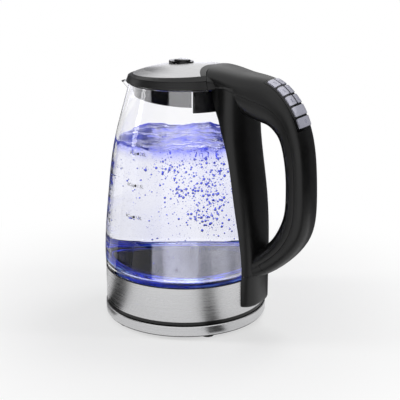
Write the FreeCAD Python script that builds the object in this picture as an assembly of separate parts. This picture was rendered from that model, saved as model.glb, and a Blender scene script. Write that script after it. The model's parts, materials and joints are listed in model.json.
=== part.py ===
"""Electric kettle: a glass jug with a side handle and keypad on a round power base.

Millimetres. +Z is up, the handle points along +X and the pouring lip along -X. The pieces are drawn
from the jug's axis, on the table, and moved at the end so that the origin lies below the middle of
the whole length.
"""
import FreeCAD
import Part
import math
import os

V = FreeCAD.Vector
X_AXIS = V(1, 0, 0)
Y_AXIS = V(0, 1, 0)
Z_AXIS = V(0, 0, 1)

# Fits
SLIP = 0.3
SNUG = 0.15
SEAM = 0.3
PILOT = 0.05

# Screws
SCREW_RADIUS = 1.4
SCREW_HEAD = 3.0
SCREW_HEAD_HEIGHT = 1.0
SCREW_POST = 3.4

# Power base
BASE_RADIUS = 80.0
BASE_HEIGHT = 10.7
BASE_WALL = 2.0
TRIM_THICKNESS = 1.4
FOOT_HEIGHT = 3.0
FOOT_RADIUS = 6.0
FOOT_INSET = 10.0
FOOT_COUNT = 5
FOOT_FIRST_ANGLE = 31.0
BASE_SCREW_CIRCLE = 48.0
BASE_SCREW_COUNT = 3
GLAND_ANGLE = 110.0
GLAND_RADIUS = 2.4
GLAND_RIM = 0.7
CORD_HOLE = 1.7

# Round connector
CONNECTOR_FLANGE_RADIUS = 21.8
CONNECTOR_FLANGE = 2.6
CONNECTOR_RADIUS = 15.0
CONNECTOR_HEIGHT = 17.5
CONNECTOR_BORE = 4.6
CONNECTOR_PIN = 1.6
CONTACT_TRACKS = (7.0, 10.2)
TRACK_WIDTH = 2.4
CONTACT_THICKNESS = 0.6
SOCKET_WALL = 4.6
SOCKET_HEIGHT = 21.0

# Kettle foot
REST_GAP = 0.4
STRIPE_HEIGHT = 3.4
BAND_INSET = 0.8
BAND_HEIGHT = 33.1
BAND_THICKNESS = 0.8
FLOOR_ABOVE_BAND = 5.2
FLOOR_THICKNESS = 0.8
FLOOR_SKIRT = 9.5
SPREADER_INSET = 18.0
SPREADER_THICKNESS = 3.0
ELEMENT_INSET = 16.0
ELEMENT_RADIUS = 3.6
ELEMENT_SWEEP = 300.0
CHASSIS_PLATE = 2.5
LED_COUNT = 12
BOTTOM_SCREW_INSET = 12.0
BOARD_INSET = 15.4
BOARD_LENGTH = 36.0
BOARD_WIDTH = 44.0
BOARD_POST_INSET = 3.0
BOARD_THICKNESS = 1.6

# Glass jug: radius lost from the widest place, and height above the steel band
GLASS_WALL = 3.2
GLASS_TUCK = 3.3
GLASS_HEIGHT = 180.2
NECK_RADIUS = 53.3
GLASS_PROFILE = ((0.0, 14.0), (1.2, 40.0), (5.0, 79.0), (11.0, 122.7), (18.6, 152.7))
SEAL_THICKNESS = 0.8
LIP_REACH = 73.5
LIP_RADIUS = 19.5
LIP_ROOT_RADIUS = 16.0
LIP_DEPTH = 16.0
LIP_DROP = 4.0

# Lid
LID_GAP = 2.0
LID_RADIUS = 56.4
LID_RIM_HEIGHT = 6.2
LID_TAPER = 2.4
LID_CREASE = 0.5
LID_TILT = 1.1
LID_RING_SLOPE = 40.0
LID_CROWN = 10.9
CROWN_RADIUS = 162.0
CROWN_SHIFT = 7.7
LID_WALL = 2.4
LID_SEAM_RADIUS = 44.5
LID_SEAM_NOSE = 29.3
PLATE_RADIUS = 49.2
PLATE_THICKNESS = 0.7
PLATE_MARGIN = 4.4
SKIRT_RADIUS = 48.5
SKIRT_THICKNESS = 0.6
SKIRT_FRONT = 11.7
SKIRT_SLOPE = 4.3
SKIRT_OPEN_ANGLE = 51.0
LIP_SEAL = 1.5
HINGE_FROM_RIM = 4.4
HINGE_HEIGHT = 5.0
HINGE_PIN = 1.9
HINGE_KNUCKLE = 4.3
HINGE_SPRING = 5.0
HINGE_ARM_WIDTH = 18.0
HINGE_ARM_FRONT = 22.0
HINGE_ARM_DEPTH = 32.0
HINGE_ARM_BAR = 3.8
LUG_WIDTH = 3.2
CLIP_WALL = 2.8
CLIP_FLANGE = 6.6
CLIP_DEPTH = 20.5
CLIP_ANGLE = 32.0
CLIP_WALL_ANGLE = 49.5
CLIP_SCREW_ANGLE = 22.0

# Release button
BUTTON_AT = -4.0
BUTTON_LENGTH = 19.0
BUTTON_WIDTH = 13.0
BUTTON_PROUD = 2.6
BUTTON_DEPTH = 6.5
BUTTON_TRAVEL = 2.0
BEZEL_RIM = 3.0
BEZEL_PROUD = 1.2

# Handle: stations along the grip as outer edge, inner edge and half width.
# The head is measured from the lid's radius and the glass rim, the upper grip from the jug's radius
# and the glass rim, the lower grip from the jug's radius and the top of the steel band.
HEAD_STATIONS = (
    ((-34.4, 19.2), (-34.4, 1.0), 28.4),
    ((-10.3, 18.5), (-12.4, -3.0), 27.4),
    ((8.9, 15.0), (3.6, -13.0), 25.0),
)
UPPER_STATIONS = (
    ((1.5, 13.2), (-6.5, -23.0), 22.2),
    ((17.1, 9.3), (4.9, -28.0), 19.6),
    ((29.4, 1.2), (14.3, -30.8), 17.7),
    ((38.9, -9.2), (21.5, -36.6), 16.6),
    ((46.2, -22.2), (26.8, -44.8), 16.2),
    ((52.8, -42.2), (30.6, -59.4), 15.9),
    ((56.4, -66.8), (32.8, -76.0), 15.7),
)
LOWER_STATIONS = (
    ((57.8, 89.4), (33.3, 87.4), 15.6),
    ((57.8, 67.4), (32.2, 69.6), 15.6),
    ((53.3, 45.4), (26.8, 53.8), 15.8),
    ((39.1, 24.8), (18.1, 39.8), 16.2),
    ((18.6, 7.8), (4.4, 27.6), 17.0),
    ((-3.6, -0.2), (-9.0, 18.0), 18.0),
)
GRIP_ROUNDNESS = 3.05
GRIP_STEPS = 4
HANDLE_WALL = 2.6
COVER_END_STATION = 14

# Handle column: height, outer face beyond the jug's radius, half width. The first three heights are
# from the top of the steel band, the others from the glass rim.
COLUMN_LOW = ((-26.8, 7.1, 23.8), (4.7, 7.1, 24.0), (37.0, 6.4, 25.8))
COLUMN_HIGH = ((-103.0, 3.2, 28.1), (-65.0, -2.4, 28.9), (-32.0, -5.9, 28.9), (-7.0, -6.0, 28.8),
               (1.0, -6.4, 27.9), (6.0, -8.0, 25.4), (11.0, -11.0, 20.0))
COLUMN_DEPTH = 20.0
COLUMN_SECTIONS = 20
COLUMN_CLEARANCE = 0.4
FOOT_BLOCK_TOP = 4.7
FOOT_BLOCK_EDGE = 2.5
FOOT_SCREW_SPREAD = 11.0
FOOT_SCREW_HEIGHT = 10.8
HARNESS_RADIUS = 1.3
HARNESS_BORE = 1.9
HARNESS_BEHIND_GLASS = 4.3

# Keypad, measured along the outer edge of the grip
KEYPAD_HALF_WIDTH = 13.3
KEYPAD_START = 70.4
KEY_PITCH = 11.1
KEY_LENGTH = 9.1
KEY_GAP = 2.2
KEYPAD_MARGIN = 2.5
KEY_ROWS_OF_TWO = 3
KEY_WIDE_ROWS = 2
KEY_PROUD = 0.9
KEY_DEPTH = 1.2
KEY_WELL = 5.4
KEY_CORNER = 1.2
PANEL_THICKNESS = 1.8
PANEL_RAIL = 1.6
BOARD_DEPTH = 5.0
KEY_BOARD = 1.2
SWITCH_SIZE = 6.0
SWITCH_TOP = 3.3
SWITCH_SEAT = 0.6

# Levels and radii that follow from the sizes above
Z_BASE = FOOT_HEIGHT
Z_BASE_TOP = Z_BASE + BASE_HEIGHT
Z_KETTLE = Z_BASE_TOP + REST_GAP
Z_STRIPE_TOP = Z_KETTLE + STRIPE_HEIGHT
Z_BAND = Z_STRIPE_TOP + SNUG
Z_BAND_TOP = Z_BAND + BAND_HEIGHT
Z_FLOOR = Z_BAND_TOP + FLOOR_ABOVE_BAND
Z_RIM = Z_BAND_TOP + GLASS_HEIGHT
Z_LID = Z_RIM + LID_GAP
Z_CREASE = Z_LID + LID_RIM_HEIGHT
Z_LID_TOP = Z_CREASE + LID_CROWN
Z_HINGE = Z_LID + HINGE_HEIGHT
X_HINGE = LID_RADIUS - HINGE_FROM_RIM
BAND_RADIUS = BASE_RADIUS - BAND_INSET
BAND_INSIDE = BAND_RADIUS - BAND_THICKNESS
JUG_RADIUS = BAND_RADIUS + 0.4
FOOT_OUTSIDE = BAND_INSIDE - 2 * SLIP
FOOT_INSIDE = FOOT_OUTSIDE - GLASS_WALL
FLOOR_RADIUS = FOOT_INSIDE - SEAL_THICKNESS - 0.2
FOOT_CIRCLE = BASE_RADIUS - FOOT_INSET
BOTTOM_SCREW_CIRCLE = BASE_RADIUS - BOTTOM_SCREW_INSET
SPREADER_RADIUS = BASE_RADIUS - SPREADER_INSET
ELEMENT_CIRCLE = SPREADER_RADIUS - ELEMENT_INSET
BOARD_END = BAND_INSIDE - BOARD_INSET
RIM_TAPER = LID_TAPER / LID_RIM_HEIGHT
SEAM_CENTRE = LID_SEAM_NOSE + LID_SEAM_RADIUS
BIG = 3 * BASE_RADIUS
# The origin lies on the table below the middle of the whole length, from the base's front to the grip's back
X_MIDDLE = (JUG_RADIUS + LOWER_STATIONS[0][0][0] - BASE_RADIUS) / 2

nodes = {}


def box(x0, x1, y0, y1, z0, z1):
    """Block between two corners."""
    return Part.makeBox(x1 - x0, y1 - y0, z1 - z0, V(x0, y0, z0))


def rod(radius, start, end):
    """Round bar between two points."""
    return Part.makeCylinder(radius, (end - start).Length, start, end - start)


def upright(radius, x, y, z0, z1):
    """Upright round bar."""
    return rod(radius, V(x, y, z0), V(x, y, z1))


def lathe(points, sweep=360.0, start=0.0):
    """Turned body from a closed outline of (radius, height) points."""
    corners = [V(r, 0, z) for r, z in points]
    face = Part.Face(Part.makePolygon(corners + corners[:1]))
    body = face.revolve(V(0, 0, 0), Z_AXIS, sweep)
    body.rotate(V(0, 0, 0), Z_AXIS, start)
    return body


def screw(x, y, head_low, tip):
    """Upright screw with its head at the bottom."""
    neck = head_low + SCREW_HEAD_HEIGHT
    return upright(SCREW_HEAD, x, y, head_low, neck).fuse(upright(SCREW_RADIUS, x, y, neck, tip))


def thread_hole(x, y, z0, z1):
    """Hole that a screw bites into."""
    return upright(SCREW_RADIUS + PILOT, x, y, z0, z1)


def screw_seat(x, y, low, head_low, high):
    """Room for a screw's head from below and a clear hole for its shank."""
    neck = head_low + SCREW_HEAD_HEIGHT
    return upright(SCREW_HEAD + SLIP, x, y, low, neck).fuse(upright(SCREW_RADIUS + SLIP, x, y, low, high))


def ring(outer, inner, z0, z1):
    """Plain turned ring."""
    return lathe([(inner, z0), (outer, z0), (outer, z1), (inner, z1)])


def around(count, radius, first=0.0):
    """Places spread evenly on a circle about the axis, as (x, y)."""
    angles = [math.radians(first + 360.0 * i / count) for i in range(count)]
    return [(radius * math.cos(a), radius * math.sin(a)) for a in angles]


def join(shapes):
    """One solid from touching or overlapping ones."""
    body = shapes[0]
    for other in shapes[1:]:
        body = body.fuse(other)
    return body.removeSplitter()


def largest(shape):
    """Main solid of a cut, without its crumbs."""
    return max(shape.Solids, key=lambda solid: solid.Volume)


def cut_all(body, tools):
    """Body with every tool taken out."""
    for tool in tools:
        body = body.cut(tool)
    return body


def spline(points):
    """Smooth edge through points."""
    curve = Part.BSplineCurve()
    curve.interpolate(points)
    return curve.toShape()


def prism_xz(points, half_width):
    """Slab across Y from an outline of (x, z) points."""
    corners = [V(x, -half_width, z) for x, z in points]
    return Part.Face(Part.makePolygon(corners + corners[:1])).extrude(V(0, 2 * half_width, 0))


def oval(length, width, x, z0, z1):
    """Upright elliptical block, long side along X."""
    edge = Part.Ellipse(V(x, 0, z0), length / 2, width / 2).toShape()
    return Part.Face(Part.Wire([edge])).extrude(V(0, 0, z1 - z0))


def glass_points(shrink):
    """Jug outline above its foot, moved inwards by a thickness, from bottom to rim."""
    points = [V(JUG_RADIUS - lost - shrink, 0, Z_BAND_TOP + up) for lost, up in GLASS_PROFILE]
    return points + [V(NECK_RADIUS - shrink, 0, Z_RIM)]


def revolve_edges(edges):
    """Turned body from a closed loop of edges in the XZ plane."""
    wire = Part.Wire(Part.__sortEdges__(edges))
    return Part.Face(wire).revolve(V(0, 0, 0), Z_AXIS, 360)


def chain(points):
    """Straight edges from point to point."""
    return [Part.makeLine(a, b) for a, b in zip(points, points[1:])]


def jug_body(shrink, bottom, foot_radius, top):
    """Filled jug shape, used for the glass outside, its inside and the room it needs."""
    wall = glass_points(shrink)
    shoulder = V(wall[0].x - 0.3, 0, Z_BAND_TOP + 2.4 + max(shrink, 0))
    curve = spline([shoulder] + wall)
    foot = [V(0, 0, bottom), V(foot_radius, 0, bottom), V(foot_radius, 0, Z_BAND_TOP + 0.8), shoulder]
    head = [wall[-1], V(wall[-1].x, 0, top), V(0, 0, top), V(0, 0, bottom)]
    head = head if top > wall[-1].z else [wall[-1], V(0, 0, Z_RIM), V(0, 0, bottom)]
    return revolve_edges(chain(foot) + [curve] + chain(head))


def lip(shrink):
    """Flared pouring lip as a cone through two circles."""
    top = Z_RIM + 1.0
    rims = []
    for reach, radius, z in ((NECK_RADIUS + 3.5, LIP_ROOT_RADIUS, Z_RIM - LIP_DEPTH),
                             (LIP_REACH, LIP_RADIUS, top)):
        circle = Part.makeCircle(radius - shrink, V(radius - reach, 0, z), Z_AXIS)
        rims.append(Part.Wire([circle]))
    return Part.makeLoft(rims, True, True)


def make_glass_jug():
    outside = jug_body(0.0, Z_BAND_TOP - GLASS_TUCK, FOOT_OUTSIDE, Z_RIM).fuse(lip(0.0))
    inside = jug_body(GLASS_WALL, Z_BAND_TOP - GLASS_TUCK - 1, FOOT_INSIDE, Z_RIM + 2)
    glass = outside.cut(inside.fuse(lip(GLASS_WALL)))
    # The lip's edge falls away towards its tip
    edge = [(-NECK_RADIUS + GLASS_WALL + 4, Z_RIM), (-LIP_REACH - 1, Z_RIM - LIP_DROP),
            (-LIP_REACH - 1, Z_RIM + 9), (0, Z_RIM + 9), (0, Z_RIM)]
    nodes["glass_jug"] = glass.cut(prism_xz(edge, BIG))


def make_power_base():
    wall_out = BASE_RADIUS - TRIM_THICKNESS - SLIP
    plate = Z_BASE_TOP - BASE_WALL - 0.2
    hole = CONNECTOR_FLANGE_RADIUS + SLIP + 0.1
    shell = lathe([(hole, Z_BASE + 3.4), (hole + BASE_WALL, Z_BASE + 3.4), (hole + BASE_WALL, plate),
                   (wall_out - BASE_WALL, plate), (wall_out - BASE_WALL, Z_BASE + 2.2),
                   (wall_out, Z_BASE + 2.2), (wall_out, Z_BASE_TOP - 0.8),
                   (wall_out - 0.8, Z_BASE_TOP), (hole, Z_BASE_TOP)])
    cover_rim = BASE_RADIUS - BAND_INSET
    cover_in = wall_out - BASE_WALL - SLIP
    cover_top = Z_BASE + 2.0
    seat = Z_BASE + 4.7
    cover = lathe([(0, Z_BASE), (cover_rim, Z_BASE), (cover_rim, Z_BASE + 0.9), (cover_in, Z_BASE + 0.9),
                   (cover_in, cover_top), (hole - SLIP - 0.4, cover_top), (hole - SLIP - 0.4, seat),
                   (0, seat)])
    trim_in = BASE_RADIUS - TRIM_THICKNESS
    trim = lathe([(trim_in, Z_BASE + 1.1), (BASE_RADIUS, Z_BASE + 1.1), (BASE_RADIUS, Z_BASE_TOP - 1.1),
                  (BASE_RADIUS - 0.6, Z_BASE_TOP - 0.5), (trim_in, Z_BASE_TOP - 0.5)])

    feet = []
    for x, y in around(FOOT_COUNT, FOOT_CIRCLE, FOOT_FIRST_ANGLE):
        pad = upright(FOOT_RADIUS, x, y, 0, Z_BASE)
        feet.append(pad.fuse(upright(1.9, x, y, Z_BASE, cover_top - 0.3)))
        cover = cover.cut(upright(1.9 + SNUG, x, y, Z_BASE - 1, cover_top + 1))

    screws = []
    for x, y in around(BASE_SCREW_COUNT, BASE_SCREW_CIRCLE, 90.0):
        head_low = Z_BASE + PILOT
        post = upright(SCREW_POST, x, y, cover_top + SNUG, plate + 0.5)
        shell = join([shell, post]).cut(thread_hole(x, y, Z_BASE, plate))
        cover = cover.cut(screw_seat(x, y, Z_BASE - 1, head_low, cover_top + 1))
        screws.append(screw(x, y, head_low, plate - 0.5))

    angle = math.radians(GLAND_ANGLE)
    out = V(math.cos(angle), math.sin(angle), 0)
    middle = V(0, 0, (cover_top + plate) / 2)
    collar = rod(GLAND_RADIUS, middle + out * (wall_out - 7), middle + out * BASE_RADIUS)
    flange = rod(GLAND_RADIUS + GLAND_RIM, middle + out * (wall_out - BASE_WALL - 2.2),
                 middle + out * (wall_out - BASE_WALL - 0.6))
    gland = collar.fuse(flange).cut(rod(CORD_HOLE, middle, middle + out * BIG))
    passage = rod(GLAND_RADIUS + SNUG, middle + out * (wall_out - 2 * BASE_WALL), middle + out * BIG)
    nodes["base_shell"] = shell.cut(passage)
    nodes["base_trim_ring"] = trim.cut(passage)
    nodes["base_bottom_cover"] = cover
    nodes["base_feet"] = Part.makeCompound(feet)
    nodes["base_screws"] = Part.makeCompound(screws)
    nodes["cord_gland"] = gland
    return seat


def make_connector(seat):
    """Round connector of the base and the socket over it."""
    foot = seat + SLIP
    top = foot + CONNECTOR_HEIGHT
    body = lathe([(0, foot), (CONNECTOR_FLANGE_RADIUS, foot),
                  (CONNECTOR_FLANGE_RADIUS, foot + CONNECTOR_FLANGE),
                  (CONNECTOR_RADIUS, foot + CONNECTOR_FLANGE), (CONNECTOR_RADIUS, top - 1.5),
                  (CONNECTOR_RADIUS - 1.5, top), (CONNECTOR_BORE, top), (CONNECTOR_BORE, foot + 6),
                  (0, foot + 6)])
    contacts = [upright(CONNECTOR_PIN, 0, 0, foot + 6, top - 2.5)]
    blades = []
    groove = top - 8.5
    for inner in CONTACT_TRACKS:
        outer = inner + TRACK_WIDTH
        body = body.cut(ring(outer, inner, groove, top + 1))
        contacts.append(ring(outer, outer - CONTACT_THICKNESS, groove, top - 0.7))
        blades.append(ring(inner + 1.1, inner + 0.5, groove + 2, top + 5))
    nodes["base_connector"] = body
    nodes["connector_contacts"] = Part.makeCompound(contacts)

    ceiling = top + 0.9
    inside = CONNECTOR_RADIUS + SLIP + 0.2
    outside = inside + SOCKET_WALL
    low = Z_KETTLE + 0.9
    boss = CONNECTOR_BORE - SLIP - 0.3
    socket = lathe([(CONNECTOR_PIN + 0.4, foot + 8), (boss, foot + 8), (boss, ceiling), (inside, ceiling),
                    (inside, low), (outside, low), (outside, low + SOCKET_HEIGHT), (0, low + SOCKET_HEIGHT),
                    (0, top - 1.5), (CONNECTOR_PIN + 0.4, top - 1.5)])
    nodes["socket_connector"] = cut_all(socket, blades)
    nodes["socket_contacts"] = Part.makeCompound(blades)
    return outside, low + SOCKET_HEIGHT


def make_kettle_foot(socket_radius, socket_top):
    """Everything between the power base and the water."""
    floor_z = Z_KETTLE + 1.1
    floor_top = floor_z + BASE_WALL
    collar = BAND_INSIDE - SLIP
    hole = socket_radius + 0.4
    cover = lathe([(hole, floor_z), (collar - 2.4, floor_z), (collar - 1.6, Z_KETTLE),
                   (BAND_RADIUS - 0.6, Z_KETTLE), (BAND_RADIUS, Z_KETTLE + 0.6), (BAND_RADIUS, Z_STRIPE_TOP),
                   (collar, Z_STRIPE_TOP), (collar, Z_STRIPE_TOP + 3.5), (collar - 1.8, Z_STRIPE_TOP + 3.5),
                   (collar - 1.8, floor_top), (hole, floor_top)])
    band = ring(BAND_RADIUS, BAND_INSIDE, Z_BAND, Z_BAND_TOP)

    glass_foot = Z_BAND_TOP - GLASS_TUCK
    guide_low = glass_foot - 3.6
    guide = ring(FOOT_OUTSIDE, FOOT_INSIDE - 0.6, guide_low, glass_foot - SNUG)
    chassis_top = guide_low - SNUG
    chassis_low = chassis_top - 7.7
    plate_top = chassis_low + CHASSIS_PLATE
    chassis_wall = FOOT_INSIDE - 0.1
    chassis_in = SPREADER_RADIUS - 2.0
    chassis = lathe([(chassis_in, chassis_low), (collar, chassis_low), (collar, chassis_top),
                     (chassis_wall, chassis_top), (chassis_wall, plate_top), (chassis_in, plate_top)])
    led_board = ring(chassis_wall - SLIP, chassis_in + 5, plate_top, plate_top + BOARD_THICKNESS)
    lights = []
    for i in range(LED_COUNT):
        lamp = box(-1.6, 1.6, -1.6, 1.6, 0, 1.8)
        lamp.translate(V(chassis_wall - 3.2, 0, plate_top + BOARD_THICKNESS))
        lamp.rotate(V(0, 0, 0), Z_AXIS, 360.0 * (i + 0.5) / LED_COUNT)
        lights.append(lamp)

    screws = []
    for x, y in around(3, BOTTOM_SCREW_CIRCLE, 60.0):
        post = upright(SCREW_POST, x, y, floor_top + SNUG, chassis_low + 0.5)
        chassis = join([chassis, post]).cut(thread_hole(x, y, floor_top - 1, chassis_low - 2))
        cover = cover.cut(screw_seat(x, y, Z_KETTLE, floor_z, floor_top + 1))
        screws.append(screw(x, y, floor_z, chassis_low - 3))

    wall_in = FLOOR_RADIUS - FLOOR_THICKNESS
    skirt_low = Z_FLOOR - FLOOR_SKIRT
    plate = lathe([(0, Z_FLOOR - FLOOR_THICKNESS), (wall_in, Z_FLOOR - FLOOR_THICKNESS), (wall_in, skirt_low),
                   (FLOOR_RADIUS, skirt_low), (FLOOR_RADIUS, Z_FLOOR - 0.6), (FLOOR_RADIUS - 0.6, Z_FLOOR),
                   (0, Z_FLOOR)])
    spreader_low = Z_FLOOR - FLOOR_THICKNESS - SPREADER_THICKNESS
    spreader = lathe([(0, spreader_low), (SPREADER_RADIUS, spreader_low),
                      (SPREADER_RADIUS, spreader_low + SPREADER_THICKNESS),
                      (0, spreader_low + SPREADER_THICKNESS)])
    coil_z = spreader_low - ELEMENT_RADIUS - 0.05
    coil = Part.makeTorus(ELEMENT_CIRCLE, ELEMENT_RADIUS, V(0, 0, coil_z), Z_AXIS, -180, 180, ELEMENT_SWEEP)
    for end in (2.0, ELEMENT_SWEEP - 2.0):
        x, y = around(1, ELEMENT_CIRCLE, end)[0]
        coil = coil.fuse(upright(1.5, x, y, coil_z - 9, coil_z))
    coil.rotate(V(0, 0, 0), Z_AXIS, 180.0 + (360.0 - ELEMENT_SWEEP) / 2)

    cutout = join([box(-12, 12, -9, 9, socket_top, spreader_low - 2.2),
                   upright(5.0, 0, 0, spreader_low - 2.5, spreader_low)])
    sensor = upright(3.0, 0, 28, spreader_low - 8, spreader_low)

    board_low = floor_top + 3.8
    board_top = board_low + BOARD_THICKNESS
    half = BOARD_WIDTH / 2
    board = box(BOARD_END - BOARD_LENGTH, BOARD_END, -half, half, board_low, board_top)
    relay = box(BOARD_END - 27, BOARD_END - 8, 2 - half, 17 - half, board_top, board_top + 14)
    for x in (BOARD_END - BOARD_LENGTH + BOARD_POST_INSET, BOARD_END - BOARD_POST_INSET):
        for y in (BOARD_POST_INSET - half, half - BOARD_POST_INSET):
            cover = join([cover, upright(2.6, x, y, floor_top - 0.5, board_low)])

    seal = ring(FLOOR_RADIUS + 0.1 + SEAL_THICKNESS, FLOOR_RADIUS + 0.1, glass_foot + 0.2, Z_FLOOR - 1.0)
    gasket = lathe([(FOOT_OUTSIDE + 0.1, Z_BAND_TOP + 0.1), (BAND_RADIUS, Z_BAND_TOP + 0.1),
                    (BAND_RADIUS, Z_BAND_TOP + 1.3), (FOOT_OUTSIDE + 0.5, Z_BAND_TOP + 0.7),
                    (FOOT_OUTSIDE + 0.1, Z_BAND_TOP + 0.7)])
    nodes["bottom_cover"] = cover
    nodes["bottom_screws"] = Part.makeCompound(screws)
    nodes["steel_band"] = band
    nodes["inner_chassis"] = chassis
    nodes["light_ring"] = guide
    nodes["led_board"] = Part.makeCompound([led_board] + lights)
    nodes["heater_plate"] = plate
    nodes["heat_spreader"] = spreader
    nodes["heating_element"] = coil
    nodes["thermal_cutout"] = cutout
    nodes["temperature_sensor"] = sensor
    nodes["power_board"] = board
    nodes["power_relay"] = relay
    nodes["jug_seal"] = seal
    nodes["band_seal"] = gasket


def dome(offset, turn=0.0):
    """Ball whose cap is the lid's crown, moved outwards by a thickness."""
    ball = Part.makeSphere(CROWN_RADIUS + offset)
    ball.rotate(V(0, 0, 0), Z_AXIS, turn)
    ball.translate(V(CROWN_SHIFT, 0, Z_LID_TOP - CROWN_RADIUS))
    return ball


def tilted(body):
    """Body leaning with the lid's crease, which falls towards the lip."""
    body.rotate(V(0, 0, Z_CREASE), Y_AXIS, -LID_TILT)
    return body


def lid_form(inset, groove=0.0, turn=0.0):
    """Filled lid shape, moved inwards by a thickness: tapered rim, sloping ring and domed crown.

    The turn puts the seam of the turned faces on the side that is cut away.
    """
    slope = math.tan(math.radians(LID_RING_SLOPE))
    below = LID_RIM_HEIGHT + LID_CROWN
    drop = inset * (math.hypot(1, slope) - slope) / (1 - RIM_TAPER * slope)
    crease = LID_RADIUS - LID_TAPER - inset + RIM_TAPER * drop
    level = Z_CREASE - drop
    bend = [(crease, level)]
    if groove:
        half = groove / 2
        bend = [(crease + RIM_TAPER * half, level - half), (crease - groove, level - half),
                (crease - groove, level + half), (crease - half / slope, level + half)]
    body = lathe([(0, Z_LID - below), (LID_RADIUS - inset + RIM_TAPER * below, Z_LID - below)]
                 + bend + [(0, level + crease * slope)], 360.0, turn)
    flat = box(-BIG, BIG, -BIG, BIG, 0, Z_LID)
    return tilted(body).cut(flat).common(dome(-inset, turn))


def head_space(gap):
    """Room of the handle's head at the lid: a nose that is round about the hinge axis, and all behind it."""
    radius = LID_SEAM_RADIUS + gap
    reach = SEAM_CENTRE - X_HINGE
    half = math.sqrt(radius ** 2 - reach ** 2)
    tip = V(SEAM_CENTRE - radius, 0, Z_HINGE)
    ends = V(X_HINGE, -half, Z_HINGE), V(X_HINGE, half, Z_HINGE)
    face = Part.Face(Part.Wire([Part.Arc(ends[0], tip, ends[1]).toShape(), Part.makeLine(ends[1], ends[0])]))
    nose = face.revolve(V(X_HINGE, 0, Z_HINGE), Y_AXIS, 180)
    below = face.extrude(V(0, 0, Z_RIM - 40 - Z_HINGE))
    behind = box(X_HINGE - 0.01, BIG, -BIG, BIG, Z_RIM - 40, Z_LID_TOP + 60)
    return nose.fuse(below).fuse(behind)


def in_lid(body, gap=SEAM + 0.1):
    """Keep what lies on the lid's side of the seam."""
    return body.cut(head_space(gap))


def plate_outline(grow):
    """Upright block with the steel insert's outline: a disc with a hollow towards the handle."""
    disc = Part.makeCylinder(PLATE_RADIUS + grow, 40, V(0, 0, Z_LID))
    hollow = Part.makeCylinder(LID_SEAM_RADIUS + PLATE_MARGIN - grow, 60, V(SEAM_CENTRE, 0, Z_LID - 5))
    return disc.cut(hollow)


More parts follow.
